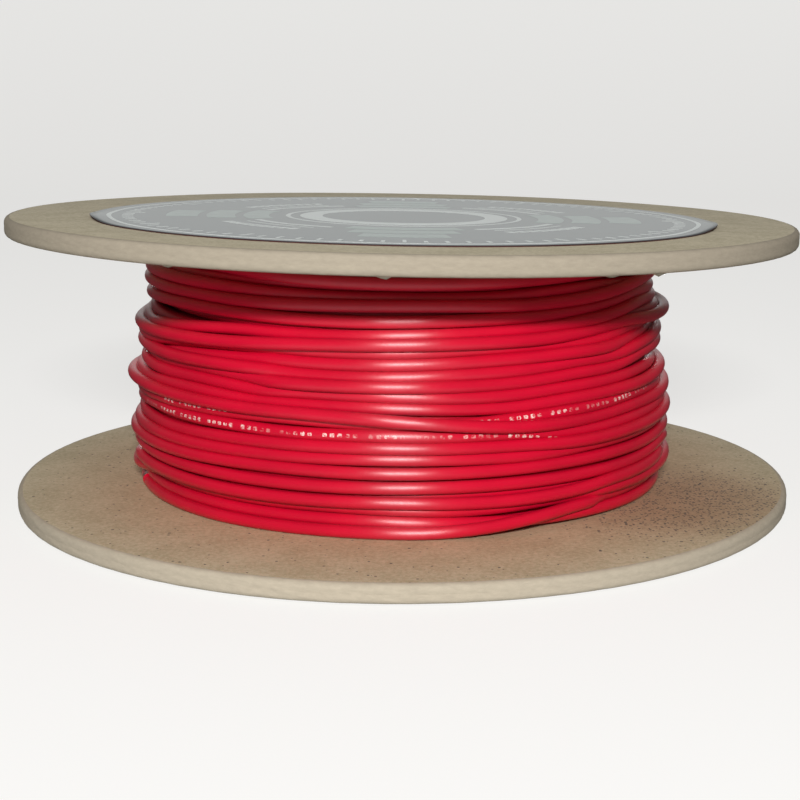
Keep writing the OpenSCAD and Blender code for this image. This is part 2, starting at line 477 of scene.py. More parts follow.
def legend_mask(material, along, round_wire):
    """Small plain blocks in groups, printed in one row along the wire, once in each repeat."""
    to_start = LEGEND_REPEAT - LEGEND_START
    shifted = add_node(material, MATH, {0: along, 1: to_start}, operation="ADD")
    in_repeat = add_node(material, MATH, {0: shifted, 1: LEGEND_REPEAT}, operation="MODULO")
    in_legend = add_node(material, MATH, {0: in_repeat, 1: LEGEND_LENGTH}, operation="LESS_THAN")
    place = add_node(material, MATH, {0: along, 1: MARK_PITCH}, operation="DIVIDE")
    cell = add_node(material, MATH, {0: place}, operation="FLOOR")
    within = add_node(material, MATH, {0: place}, operation="FRACT")
    group = add_node(material, MATH, {0: cell, 1: MARK_GROUP}, operation="MODULO")
    printed = add_node(material, MATH, {0: group, 1: MARK_GROUP - 1.5}, operation="LESS_THAN")
    chance = add_node(material, "ShaderNodeTexWhiteNoise", {"W": cell}, noise_dimensions="1D")
    heights = {"To Min": MARK_HEIGHT * MARK_LOWEST, "To Max": MARK_HEIGHT}
    height = add_node(material, RANGE, {"Value": chance, **heights})
    off_row = add_node(material, MATH, {0: round_wire, 1: 0.5}, operation="PINGPONG")
    tall = add_node(material, MATH, {0: off_row, 1: height}, operation="DIVIDE")
    middle = add_node(material, MATH, {0: within, 1: 0.5}, operation="SUBTRACT")
    wide = add_node(material, MATH, {0: middle, 1: MARK_LENGTH}, operation="DIVIDE")
    # Fourth powers round a block's corners
    tall_4 = add_node(material, MATH, {0: tall, 1: 4.0}, operation="POWER")
    wide_2 = add_node(material, MATH, {0: wide, 1: wide}, operation="MULTIPLY")
    wide_4 = add_node(material, MATH, {0: wide_2, 1: wide_2}, operation="MULTIPLY")
    size = add_node(material, MATH, {0: tall_4, 1: wide_4}, operation="ADD")
    block = add_node(material, MATH, {0: size, 1: 1.0}, operation="LESS_THAN")
    marks = add_node(material, MATH, {0: block, 1: printed}, operation="MULTIPLY")
    return add_node(material, MATH, {0: marks, 1: in_legend}, operation="MULTIPLY")


def extruded_pvc(colours, name, legend):
    """Glossy PVC insulation, extruded: saturated red, soft highlights, faint draw lines."""
    material = new_material(name)
    coordinates = add_node(material, "ShaderNodeTexCoord")
    place = coordinates.outputs["Object"]
    cloud = add_node(material, NOISE, {"Vector": place, "Scale": grain(12), "Detail": 2.0})
    gloss = add_node(material, NOISE, {"Vector": place, "Scale": grain(0.5), "Detail": 3.0})
    share = add_node(material, RANGE, {"Value": cloud, **NOISE_SPAN})
    deep, full = shaded(colours.insulation, 0.86), list(colours.insulation)
    tint = add_node(material, MIX, {0: share, 6: deep, 7: full}, data_type="RGBA")
    colour = tint.outputs[2]
    roughness = add_node(
        material, RANGE, {"Value": gloss, **NOISE_SPAN, "To Min": 0.31, "To Max": 0.37}
    )
    if legend:
        axes = add_node(material, "ShaderNodeSeparateXYZ", {0: coordinates.outputs["UV"]})
        mask = legend_mask(material, axes.outputs[0], axes.outputs[1])
        worn = add_node(
            material, RANGE, {"Value": gloss, "From Min": 0.38, "From Max": 0.6, "To Max": 0.85}
        )
        faded = add_node(
            material,
            RANGE,
            {"Value": cloud, "From Min": 0.44, "From Max": 0.58, "To Min": 0.2, "To Max": 0.8},
        )
        left = add_node(material, MATH, {0: worn, 1: faded}, operation="MULTIPLY")
        ink = add_node(material, MATH, {0: mask, 1: left}, operation="MULTIPLY")
        white = list(colours.legend)
        inked = add_node(material, MIX, {0: ink, 6: colour, 7: white}, data_type="RGBA")
        colour = inked.outputs[2]
    relief = add_node(
        material, BUMP, {"Strength": 0.1, "Distance": 0.03 * MM, "Height": gloss}
    )
    # The die's draw lines run along the wire, so highlights spread across it
    along_wire = add_node(material, "ShaderNodeTangent", direction_type="RADIAL", axis="Z")
    return finished(
        material,
        {
            "Base Color": colour,
            "Roughness": roughness,
            "Normal": relief,
            "Tangent": along_wire,
            "IOR": 1.53,
            "Specular IOR Level": 0.5,
            "Anisotropic": 0.9,
            "Anisotropic Rotation": 0.25,
        },
    )


FILM_GLOSS = {"Roughness": 0.3, "IOR": 1.5, "Coat Weight": 0.6, "Coat Roughness": 0.12}


def laminated_label(colours):
    """Dark printed paper under clear gloss film: mirror-like at a low angle, faint orange peel."""
    material = new_material("laminated label")
    place = add_node(material, "ShaderNodeTexCoord").outputs["Object"]
    peel = add_node(material, NOISE, {"Vector": place, "Scale": grain(4), "Detail": 3.0})
    ground = list(colours.label)
    return two_tone(material, peel, ground, shaded(ground, 1.35), 0.1, 0.05, FILM_GLOSS)


def plain_finish(name, colour, size_mm, contrast, relief_mm, shader_inputs):
    """A finish whose colour drifts a little and whose surface has grain of one real size."""
    material = new_material(name)
    place = add_node(material, "ShaderNodeTexCoord").outputs["Object"]
    noise = add_node(material, NOISE, {"Vector": place, "Scale": grain(size_mm), "Detail": 4.0})
    dark = shaded(colour, 1 - contrast)
    return two_tone(material, noise, dark, list(colour), 0.4, relief_mm, shader_inputs)


# -------------------------------------------------------------------- flanges

SEGMENTS = 600  # round a flange
FACE_RADII = (20.0, 36.0, 46.0, 50.0, 53.0, 56.0, 59.0, 62.0, 64.5, 66.5, 68.0)
FACE_STOP = 0.4  # a face's last ring stays this far inside the rim, mm
RIM_LEVELS = 6  # rings of points on a layer's rim, between its corners
CORNER = 0.015  # a layer's corners are shaded round over this much, mm
LINER_BACK = 0.5  # each liner stops this far short of the arbor hole, mm
WARP_FROM, WARP_OVER = 50, 14  # radius at which the warp starts, and grows to full over, mm
WARP_WAVES = ((2, 0.6, 1.0), (3, 2.1, 0.6), (7, 0.0, 0.3))  # waves in a round, shift, share
WARP_SHARE = 0.6  # brings the highest of these waves back to about the warp's height
RAGGED_FROM, RAGGED_OVER = 67.5, 1.5  # where the rim's raggedness starts, and grows over, mm
# Waves of the rim's raggedness and of its groove: how many, slowest and fastest in a round
SLOW_WAVES, FINE_WAVES, GROOVE_WAVES = (5, 2, 9), (9, 40, 150), (4, 3, 14)
FINE_SHARE = 0.35  # height of the fine waves, as a share of the slow ones
FINE_SLANT = 0.013  # how far the fine waves slant, in rounds per mm of height
GROOVE_REACH = 0.13  # half-width of the line between two plies, mm
GROOVE_OPEN = (0.6, 0.4)  # how far the plies part on average, and how much that varies
GROOVE_LEAST = 0.1
GROOVE_UPPER = 0.25  # the upper rim's line is this share as deep
# Ragged bits that hang below the upper rim: direction in degrees, and depth in mm
BURRS = ((-119.0, 0.3), (-92.0, 0.45), (-64.5, 0.3), (-57.5, 0.5))
BURR_REACH = math.radians(0.9)


def warp_height(points, share, settings):
    """How far a flange's face waves up at each point; nothing where the wire bears on it."""
    x, y = points[..., 0], points[..., 1]
    outer = np.clip((np.hypot(x, y) - WARP_FROM) / WARP_OVER, 0, 1) ** 2
    direction = np.arctan2(y, x)
    wave = sum(height * np.sin(rate * direction + shift) for rate, shift, height in WARP_WAVES)
    return settings.warp / MM * share * outer * wave * WARP_SHARE


def rim_radius(z, settings):
    """Radius of the rim at height z above a flange's lower face."""
    rounding = settings.rim_round / MM
    depth = np.minimum(z, FLANGE_T - z)
    arc = np.sqrt(np.maximum(rounding**2 - np.maximum(rounding - depth, 0) ** 2, 0))
    return FLANGE_R - rounding + arc


def flange_layer(low, high, bore, settings, leaning):
    """Points and faces of one layer of a flange, from height low to high, in place.

    Also gives each face's material slot: 1 on the cut rim, and 0 elsewhere.
    """
    levels = np.concatenate([[low], np.linspace(low + CORNER, high - CORNER, RIM_LEVELS), [high]])
    rim = rim_radius(levels, settings)
    edge, top = ([r for r in FACE_RADII if r < rim[end] - FACE_STOP] for end in (0, -1))
    radii = np.concatenate([[bore], edge, rim, top[::-1], [bore]])
    heights = np.concatenate([[low] * (len(edge) + 1), levels, [high] * (len(top) + 1)])
    direction = np.arange(SEGMENTS) / SEGMENTS * FULL_TURN
    phase = direction[:, None] / FULL_TURN
    # The rim's slow waves and groove are one for all its layers, and so is their seed
    slow_rng, groove_rng = np.random.default_rng(3 + leaning), np.random.default_rng(8)
    fine_rng = np.random.default_rng(30 if leaning else 20)
    slow = wobble(phase, slow_rng, *SLOW_WAVES, whole=True)
    fine = wobble(phase + heights[None, :] * FINE_SLANT, fine_rng, *FINE_WAVES, whole=True)
    opened = GROOVE_OPEN[0] + GROOVE_OPEN[1] * wobble(phase, groove_rng, *GROOVE_WAVES, whole=True)
    opened = np.clip(opened, GROOVE_LEAST, 1) * (GROOVE_UPPER if leaning else 1.0)
    groove = np.exp(-(((heights - FLANGE_T / 2) / GROOVE_REACH) ** 2))[None, :]
    at_rim = np.clip((radii - RAGGED_FROM) / RAGGED_OVER, 0, 1)[None, :]
    ragged = settings.ragged / MM
    radius = radii[None, :] + at_rim * (
        ragged * slow + FINE_SHARE * ragged * fine - settings.groove / MM * groove * opened
    )
    height = np.broadcast_to(heights[None, :], radius.shape).copy()
    if leaning and low == 0:
        for burr_direction, depth in BURRS:
            burr = bump_at(direction, math.radians(burr_direction), BURR_REACH)
            height -= burr[:, None] * depth * at_rim * (heights[None, :] == 0)
    points = wire_points(direction[:, None], radius, height)
    share = heights[None, :] / FLANGE_T if not leaning else np.ones_like(heights)[None, :]
    points[..., 2] += warp_height(points, share, settings)
    if leaning:
        points = leaned(points)
    faces = grid_quads(SEGMENTS, len(radii), wrap_rows=True, wrap_columns=True).tolist()
    column = np.tile(np.arange(len(radii)), SEGMENTS)
    on_rim = (column > len(edge)) & (column < len(edge) + len(levels))
    return points.reshape(-1, 3), faces, on_rim.astype(int)


def leaned(points):
    """Moves points from the upper flange's own frame to their place, leaning with it."""
    angle = math.atan(LEAN)
    x, y, z = points[..., 0], points[..., 1], points[..., 2]
    placed = [
        x * math.cos(angle) + z * math.sin(angle),
        y,
        UPPER_Z - x * math.sin(angle) + z * math.cos(angle),
    ]
    return np.stack(placed, axis=-1)


# ---------------------------------------------------------------------- label

LABEL_RINGS = 40
LABEL_SEGMENTS = 240
LABEL_CENTRE = 0.4  # radius of the first ring, mm
# Where the label's edge has come loose: direction and half-width, in degrees
LIFTS = ((-166.0, 17.0), (-14.0, 20.0))
LIFT_DEPTH = 9  # how far in from the edge it is loose, mm
LABEL_LOW, LABEL_HIGH = box_mm("face_label")
LABEL_R = (LABEL_HIGH[1] - LABEL_LOW[1]) / 2
LABEL_T = 0.15
LABEL_MIDDLE = (
    (LABEL_LOW[0] + LABEL_HIGH[0]) / 2 - math.sin(math.atan(LEAN)) * FLANGE_T,
    (LABEL_LOW[1] + LABEL_HIGH[1]) / 2,
)
INK_BELOW, INK_ABOVE = 0.03, 0.012  # how far a printed patch reaches past the film's face, mm
INK_STEP = math.radians(1.5)  # length of one of a patch's faces round the label


def label_points(radius, direction, above, label, flange):
    """Places points given in the label's polar coordinates, at a height above its underside."""
    radius, direction = np.broadcast_arrays(radius, direction)
    points = np.stack(
        [
            LABEL_MIDDLE[0] + radius * np.cos(direction),
            LABEL_MIDDLE[1] + radius * np.sin(direction),
            np.full(radius.shape, FLANGE_T + above),
        ],
        axis=-1,
    )
    points[..., 2] += warp_height(points, 1.0, flange)
    loose = sum(bump_at(direction, math.radians(a), math.radians(half)) for a, half in LIFTS)
    raised = np.clip((radius - LABEL_R + LIFT_DEPTH) / LIFT_DEPTH, 0, 1) ** 2
    points[..., 2] += label.lift / MM * loose * raised
    return leaned(points)


def label_disc(label, flange):
    """The label as a thin closed disc, and the material slot of each of its faces."""
    radii = np.linspace(LABEL_CENTRE, LABEL_R, LABEL_RINGS)
    rows = np.arange(LABEL_SEGMENTS)
    direction = rows[:, None] / LABEL_SEGMENTS * FULL_TURN
    under = label_points(radii[None, :], direction, 0.0, label, flange)
    over = label_points(radii[None, ::-1], direction, LABEL_T, label, flange)
    points = np.concatenate([under, over], axis=1)
    columns = points.shape[1]
    quads = grid_quads(LABEL_SEGMENTS, columns, wrap_rows=True)
    slots = (quads[:, 0] % columns < LABEL_RINGS).astype(int).tolist()
    centres = [(rows * columns)[::-1].tolist(), (rows * columns + columns - 1).tolist()]
    return points.reshape(-1, 3), quads.tolist() + centres, slots + [1, 0]


def label_mark(inner, outer, start, stop, label, flange):
    """One printed patch between two radii and two directions in degrees, as a thin slab."""
    start, stop = math.radians(start), math.radians(stop)
    steps = max(2, int(abs(stop - start) / INK_STEP) + 1)
    direction = np.linspace(start, stop, steps)[:, None]
    radii = np.array([inner, outer, outer, inner])[None, :]
    points = np.concatenate(
        [
            label_points(radii[:, :2], direction, LABEL_T - INK_BELOW, label, flange),
            label_points(radii[:, 2:], direction, LABEL_T + INK_ABOVE, label, flange),
        ],
        axis=1,
    )
    return points.reshape(-1, 3), tube_faces(steps, 4)


# The label's own plain design. Patches are given by their inner and outer radius in mm
BANDS = ((24.0, 28.5), (30.0, 35.0), (36.5, 42.0))
BAND_SIDES = (70, 160, 250, 340)  # directions in which a stack of bands starts, in degrees
BAND_STEP = 5  # each band starts and ends this much inside the last, in degrees
RINGS = ((51.4, 52.2), (14.5, 18.5), (20.2, 21.0))
LONG_TICK, SHORT_TICK, TICK_OUTER = 46.2, 47.6, 49.6
TICK_HALF = 0.35  # half a tick's width, in degrees
ARC, THIN_ARC, DASH = (27.0, 28.2), (30.0, 30.5), (33.0, 35.0)
ARC_SIDES = (25, 115, 205, 295)
ARC_INSET = 4  # the thin arc and the dashes start and end this much inside the arc, in degrees
DASHES, DASH_WIDTH = 9, 2.4  # in each arc, and in degrees
PART_WIDTH = 40  # width of a stack of bands or of an arc, in degrees


def label_shapes():
    """Broad grey-green bands of the label's design, each stepped in from the last."""
    return [
        (*band, start + BAND_STEP * step, start + PART_WIDTH - BAND_STEP * step)
        for start in BAND_SIDES
        for step, band in enumerate(BANDS)
    ]


def label_marks(ticks):
    """Pale marks of the design: rings, a ring of ticks, and arcs of dashes round the middle."""
    marks = [(*ring, 90 * quarter, 90 * quarter + 90) for ring in RINGS for quarter in range(4)]
    for tick in range(ticks):
        middle = 360 * tick / ticks
        inner = SHORT_TICK if tick % 8 else LONG_TICK
        marks.append((inner, TICK_OUTER, middle - TICK_HALF, middle + TICK_HALF))
    for start in ARC_SIDES:
        first, last = start + ARC_INSET, start + PART_WIDTH - ARC_INSET
        marks += [(*ARC, start, start + PART_WIDTH), (*THIN_ARC, first, last)]
        for dash in range(DASHES):
            left = first + dash * (last - first) / DASHES
            marks.append((*DASH, left, left + DASH_WIDTH))
    return marks


# -------------------------------------------------------------------- winding

STATIONS = 120  # points round one turn
STEP = FULL_TURN / STATIONS
BED_R = 41.8  # the modelled turns lie on a bed of this radius half-way up, mm
BED_TAPER = 0.085  # the bed widens by this much per mm towards the lower flange
UNDER_TURNS = (20, 18)  # turns in the two layers below the outer one
DWELL = 0.5  # how far past a flange the traverse carries on before it turns back, mm
SLACK = 0.03  # least gap between a turn and a flange, mm
GRIP = 0.95  # turns of soft PVC press together to this share of their diameter
FAR = -1000.0  # place of a station where no wire has been laid yet, mm
END_DIRECTION = math.radians(100)
END_OUTWARD = np.array([math.cos(END_DIRECTION), math.sin(END_DIRECTION), 0])
END_AHEAD = np.array([-math.sin(END_DIRECTION), math.cos(END_DIRECTION), 0])
STRAND_POINTS = points_mm("wire_end_strands")

# Each of the three layers: how far its turns stray from their heights in mm, and how many
# rounds it settles for
LAYER_STRAY, LAYER_ROUNDS = (0.2, 0.4, 0.0), (80, 140, 260)
STRAY_WAVES = (6, 0.15, 1.3)  # waves in this straying: how many, slowest, fastest per turn
STEADY = (0.3, math.radians(70))  # share of it left at the front, and the front's half-width
COURSE_MEAN = 5  # stations on each side over which the outer layer's course is evened out
# How a layer settles. The shares are for each round
HEAP = 0.25  # how much further out than it can lie a turn starts, on average, mm
HEAP_WAVES = (5, 0.2, 1.5)  # how that varies, as with the straying
PULL, MOST_PULL = 0.02, 0.06  # how far tension draws a turn in, and most where it sinks, mm
HOMING = 0.08  # share of the way back to its wanted height
STIFFNESS = 0.35  # share of the way to the mean of its neighbours along the wire
# Share of an overlap that it moves by, off a turn of its own layer and off one laid before
YIELD_OWN, YIELD_LAID = 0.4, 0.8

# Heights of the outer layer's turns in mm, from the lowest turn up: left of the front, at
# the front and right of it. Turns count as they pass the front, so 18.25 is a quarter past
SIGHTS = (-0.16, -0.088, 0.0, 0.088, 0.16)
OUTER_HEIGHTS = (
    (4.2, 4.3, 4.4, 5.4, 7.0),
    (6.6, 6.7, 6.7, 7.4, 8.4),
    (9.4, 9.4, 9.3, 9.0, 9.9),
    (11.7, 11.8, 11.8, 10.9, 11.4),
    (13.5, 13.7, 13.7, 13.2, 13.9),
    (15.4, 15.6, 15.6, 15.4, 15.8),
    (17.2, 17.4, 17.4, 17.3, 17.5),
    (19.4, 19.6, 20.1, 18.9, 18.7),
    (21.5, 21.3, 21.4, 22.0, 22.0),
    (23.6, 23.2, 21.9, 20.4, 20.3),
    (24.5, 24.4, 23.6, 23.5, 24.1),
    (26.3, 25.8, 25.2, 25.1, 25.3),
    (28.2, 27.6, 27.0, 27.4, 29.6),
    (29.7, 29.4, 28.6, 29.3, 30.8),
    (30.9, 30.4, 30.4, 30.9, 32.1),
    (31.4, 31.4, 31.3, 31.8, 33.2),
    (32.2, 33.0, 33.6, 33.6, 34.9),
    (34.0, 34.8, 35.3, 35.4, 36.4),
    (38.4, 38.0, 36.5, 36.8, 38.2),
    (40.7, 39.4, 38.7, 39.4, 41.5),
    (42.4, 41.0, 40.7, 40.9, 40.2),
    (44.6, 43.2, 42.7, 42.7, 43.6),
)
OUTER_START = (0.8, 4.2)  # turn and height at which the wire climbs onto the outer layer
CLIMB = 10  # stations before and after that place over which it climbs
OUTER_END = ((22.25, 44.6), (22.32, 45.6), (22.53, 45.6))

# Where a turn stands proud of its neighbours or sinks between them: turn, reach in turns, mm
STRAYS = (
    (0.8, 0.12, -2.0),
    (1.3, 0.2, -2.5),
    (2.2, 0.16, 1.3),
    (2.75, 0.2, 1.2),
    (3.75, 0.2, 1.0),
    (4.2, 0.14, 0.6),
    (4.75, 0.2, 1.0),
    (5.2, 0.12, 0.3),
    (7.75, 0.14, -0.4),
    (8.16, 0.16, -2.0),
    (8.75, 0.14, -0.3),
    (9.0, 0.1, -1.8),
    (9.22, 0.14, -1.2),
    (9.78, 0.16, 1.1),
    (10.0, 0.14, 1.8),
    (10.2, 0.14, 1.0),
    (10.78, 0.16, -0.8),
    (11.2, 0.12, 0.5),
    (12.2, 0.12, -0.6),
    (12.78, 0.14, -1.4),
    (13.0, 0.14, 2.2),
    (13.2, 0.14, -0.8),
    (13.74, 0.12, 0.6),
    (14.0, 0.12, -0.8),
    (14.78, 0.14, -2.6),
    (15.0, 0.14, 2.1),
    (15.22, 0.12, -2.0),
    (15.76, 0.14, -1.4),
    (16.0, 0.14, -2.4),
    (16.2, 0.14, -1.8),
    (16.78, 0.2, 2.4),
    (17.0, 0.14, 2.1),
    (17.22, 0.16, -1.0),
    (17.78, 0.14, -0.6),
    (18.2, 0.16, -2.4),
    (18.78, 0.14, 1.2),
    (19.22, 0.14, -1.0),
    (20.15, 0.14, 0.8),
    (21.0, 0.35, -1.6),
    (22.0, 0.3, 0.5),
)

# Fall of the layer below: share of its length, and share of the height still to fall
SECOND_COURSE = ((0.0, 1.0), (0.87, 0.18), (0.942, 0.062), (0.965, 0.01), (1.0, 0.0))

# Where the layers out of sight swell (+) or leave a hollow (-): direction in degrees,
# height and amount in mm
SWELLS = (
    (180, 36.2, -2.2),
    (180, 32.8, 1.6),
    (180, 30.6, -2.2),
    (180, 27.8, -1.4),
    (180, 24.2, 1.4),
    (180, 20.6, -0.6),
    (180, 12.0, 0.9),
    (0, 38.2, -2.2),
    (0, 35.0, 1.4),
    (0, 32.4, -2.2),
    (0, 30.0, 0.4),
    (0, 27.3, -2.2),
    (0, 24.0, 0.6),
    (0, 21.8, -1.4),
    (0, 16.4, 0.8),
    (-90, 41.0, -2.4),
)
SWELL_REACH = (math.radians(62), 2.6)  # half-width round the spool, and along it in mm


def bed_radius(z, direction):
    """Radius of the layers out of sight, at height z and in a direction."""
    radius = BED_R + BED_TAPER * ((FLANGE_T + UPPER_Z) / 2 - z)
    for side, height, swell in SWELLS:
        beside = bump_at(direction, math.radians(side), SWELL_REACH[0])
        radius = radius + swell * beside * hump(np.abs(z - height) / SWELL_REACH[1])
    return radius


def running_mean(values, reach):
    """Mean over each value and its neighbours up to reach away."""
    padded = np.pad(values, reach, mode="edge")
    return np.convolve(padded, np.ones(2 * reach + 1) / (2 * reach + 1), mode="valid")


def neighbours_mean(values, before):
    """Mean of each value's two neighbours along the wire."""
    line = np.concatenate([[before], values, values[-1:]])
    return 0.5 * (line[:-2] + line[2:])


def outer_course():
    """Turns and heights that the outer layer's wire passes through, from start to end."""
    course = [OUTER_START]
    for turn, heights in enumerate(OUTER_HEIGHTS, start=1):
        course += [(turn + sight, height) for sight, height in zip(SIGHTS, heights)]
    return np.array(course + list(OUTER_END))


def settle(wanted, proud, part, direction, laid_r, laid_z, ceiling, last, wire_d, rounds, rng):
    """Lets one layer sink onto the turns below under the wire's tension.

    Turns push each other aside where they would overlap, keep near their wanted
    heights, and bend no more than the wire's stiffness lets them. Where the wire is to
    stand proud it starts higher and is drawn in less.
    """
    rows, columns = part // STATIONS, part % STATIONS
    floor = FLANGE_T + wire_d / 2 + SLACK
    z = np.clip(wanted, floor, ceiling)
    rise = np.sqrt(np.maximum(wire_d**2 - (z[:, None] - laid_z[:, columns].T) ** 2, 0))
    r = np.where(rise > 0, laid_r[:, columns].T + rise, 0).max(axis=1)
    r = np.maximum(r, bed_radius(z, direction) + wire_d / 2)
    r += HEAP * (1 + wobble(part / STATIONS, rng, *HEAP_WAVES)) + proud
    pull = np.clip(PULL * (1 - proud), 0.0, MOST_PULL)
    near = np.arange(max(0, rows[0] - 2 * max(UNDER_TURNS)), rows[-1] + 1)
    mobile = np.zeros(laid_r.shape, dtype=bool)
    mobile[rows, columns] = True
    own = mobile[near][:, columns].T
    share = np.where(own, YIELD_OWN, YIELD_LAID)
    share[near[None, :] == rows[:, None]] = 0
    least = np.where(own, GRIP * wire_d, wire_d)
    for _ in range(rounds):
        r -= pull
        z += HOMING * (wanted - z)
        for _ in range(2):
            r += STIFFNESS * (neighbours_mean(r, last[0]) * math.cos(STEP) - r)
            z += STIFFNESS * (neighbours_mean(z, last[1]) - z)
        for _ in range(2):
            laid_r[rows, columns], laid_z[rows, columns] = r, z
            away_r = r[:, None] - laid_r[near][:, columns].T
            away_z = z[:, None] - laid_z[near][:, columns].T
            apart = np.hypot(away_r, away_z) + 1e-9
            push = np.maximum(least - apart, 0) * share / apart
            r = np.maximum(r + (push * away_r).sum(axis=1), bed_radius(z, direction) + wire_d / 2)
            z = np.clip(z + (push * away_z).sum(axis=1), floor, ceiling)
    laid_r[rows, columns], laid_z[rows, columns] = r, z
    return r, z


@functools.lru_cache(maxsize=1)
def laid_wire(wire_d, seed):
    """Lays two layers and the outer one.

    Gives directions, radii and heights of the wire's stations, and the station at which
    the outer layer starts.
    """
    rng = np.random.default_rng(seed)
    low, high = FLANGE_T + wire_d / 2 - DWELL, UPPER_Z - wire_d / 2 + DWELL
    course, fall = outer_course(), np.array(SECOND_COURSE)
    outer = round((course[-1, 0] - course[0, 0]) * STATIONS)
    second = UNDER_TURNS[1] * STATIONS - outer % STATIONS
    turns = course[-1, 0] - np.arange(outer)[::-1] / STATIONS
    layers = (
        np.linspace(low, high, UNDER_TURNS[0] * STATIONS),
        low + (high - low) * np.interp(np.linspace(0, 1, second), fall[:, 0], fall[:, 1]),
        running_mean(np.interp(turns, course[:, 0], course[:, 1]), COURSE_MEAN),
    )
    proud = [np.zeros(len(layer)) for layer in layers]
    for turn, reach, height in STRAYS:
        proud[2] += height * hump(np.abs(turns - turn) / reach)
    count = sum(len(layer) for layer in layers)
    direction = END_DIRECTION - np.arange(count)[::-1] * STEP
    ceiling = UPPER_Z - LEAN * (BED_R + 2 * wire_d) * np.cos(direction) - wire_d / 2 - SLACK
    beside = STEADY[0] + (1 - STEADY[0]) * (1 - bump_at(direction, FRONT, STEADY[1]))
    laid_r = np.full((count // STATIONS + 1, STATIONS), FAR)
    laid_z = laid_r.copy()
    radii, heights = np.zeros(count), np.zeros(count)
    first, last = 0, (bed_radius(low, direction[0]) + wire_d / 2, low)
    for wanted, lift, stray, rounds in zip(layers, proud, LAYER_STRAY, LAYER_ROUNDS):
        part = np.arange(first, first + len(wanted))
        wanted = wanted + stray * beside[part] * wobble(part / STATIONS, rng, *STRAY_WAVES)
        laid = (laid_r, laid_z, ceiling[part], last)
        r, z = settle(wanted, lift, part, direction[part], *laid, wire_d, rounds, rng)
        radii[part], heights[part] = r, z
        last = (r[-1], z[-1])
        first += len(wanted)
    climb = np.arange(count - outer - CLIMB, count - outer + CLIMB)
    radii[climb] = running_mean(radii, CLIMB)[climb]
    return direction, radii, heights, count - outer - 1


def wire_points(direction, radii, heights):
    """Points from their directions, radii and heights, in millimetres."""
    return np.stack([radii * np.cos(direction), radii * np.sin(direction), heights], axis=-1)


def round_tube(line, radius, sides, outward, up):
    """A tube along a line, closed at both ends, from two directions across the line."""
    turn = (np.arange(sides) / sides * FULL_TURN)[None, :, None]
    points = line[:, None] + radius * (np.cos(turn) * outward + np.sin(turn) * up)
    return points.reshape(-1, 3), tube_faces(len(line), sides)


def wire_tube(line, radius, sides):
    """A round tube along a line that runs round the axis."""
    ahead = np.gradient(line, axis=0)
    ahead /= np.linalg.norm(ahead, axis=1, keepdims=True)
    outward = line * (1, 1, 0)
    outward -= (outward * ahead).sum(axis=1, keepdims=True) * ahead
    outward /= np.linalg.norm(outward, axis=1, keepdims=True)
    return round_tube(line, radius, sides, outward[:, None], np.cross(outward, ahead)[:, None])


OUTER_SIDES = 16
UNDER_SIDES = 12
END_EASE = 40  # stations over which the outer layer's end is brought to its place

# How the printed side lies as the wire rolls: turn of the outer layer, and turns of roll
# from facing straight out, upwards
PRINT_ROLL = (
    (7.5, -0.3),
    (7.78, 0.0),
    (8.05, 0.03),
    (8.08, -0.06),
    (8.14, -0.4),
    (8.7, -0.35),
    (8.82, 0.0),
    (8.92, 0.06),
    (8.95, 0.34),
    (9.0, 0.3),
    (9.03, 0.06),
    (9.17, 0.03),
    (9.23, 0.35),
    (9.6, 0.45),
)
ROLL_MEAN = 3  # stations on each side over which the roll is evened out


def insulation_end(back=0.0):
    """Where the strands leave the insulation, or a distance back from there, in mm."""
    along = STRAND_POINTS @ END_AHEAD
    middle = STRAND_POINTS.mean(axis=0)
    return middle + (along.min() - back - middle @ END_AHEAD) * END_AHEAD


def outer_line(direction, radii, heights, start, wire_d):
    """Centreline of the outer layer, brought to the place where its cut end shows."""
    line = wire_points(direction[start:], radii[start:], heights[start:])
    cut = insulation_end()
    last_bend = cut - wire_d * END_AHEAD
    ease = np.clip((np.arange(len(line)) - len(line) + 1 + END_EASE) / END_EASE, 0, 1)[:, None]
    line = line + (last_bend - line[-1]) * ease**2 * (3 - 2 * ease)
    return np.concatenate([line, [last_bend + 0.5 * wire_d * END_AHEAD, cut]])


def wire_uvs(line, sides, print_roll):
    """Face-corner UVs: millimetres along the wire, and turns round it from its printed side."""
    length = np.concatenate([[0], np.cumsum(np.linalg.norm(np.diff(line, axis=0), axis=1))])
    row, column = np.meshgrid(np.arange(len(line) - 1), np.arange(sides), indexing="ij")
    corner_rows = np.stack([row, row + 1, row + 1, row], axis=-1)
    corner_columns = np.stack([column, column, column + 1, column + 1], axis=-1)
    uv = np.stack([length[corner_rows], corner_columns / sides - print_roll[corner_rows]], axis=-1)
    unprinted_ends = np.full((2 * sides, 2), 0.5)
    return np.concatenate([uv.reshape(-1, 2), unprinted_ends])


BED_SEGMENTS = 180
BED_GAP = 0.02  # gap between the bed and the lower flange, mm
BED_SHORT = 1  # the bed is this much lower than the space between the flanges, mm
RIDGE_POINTS = 5  # rings of points on each ridge
RIDGE_DEPTH = 0.95  # the ridges are round up to this share of their half-width
TUBE_GAP = 0.05  # gap between the bed and the core tube, mm


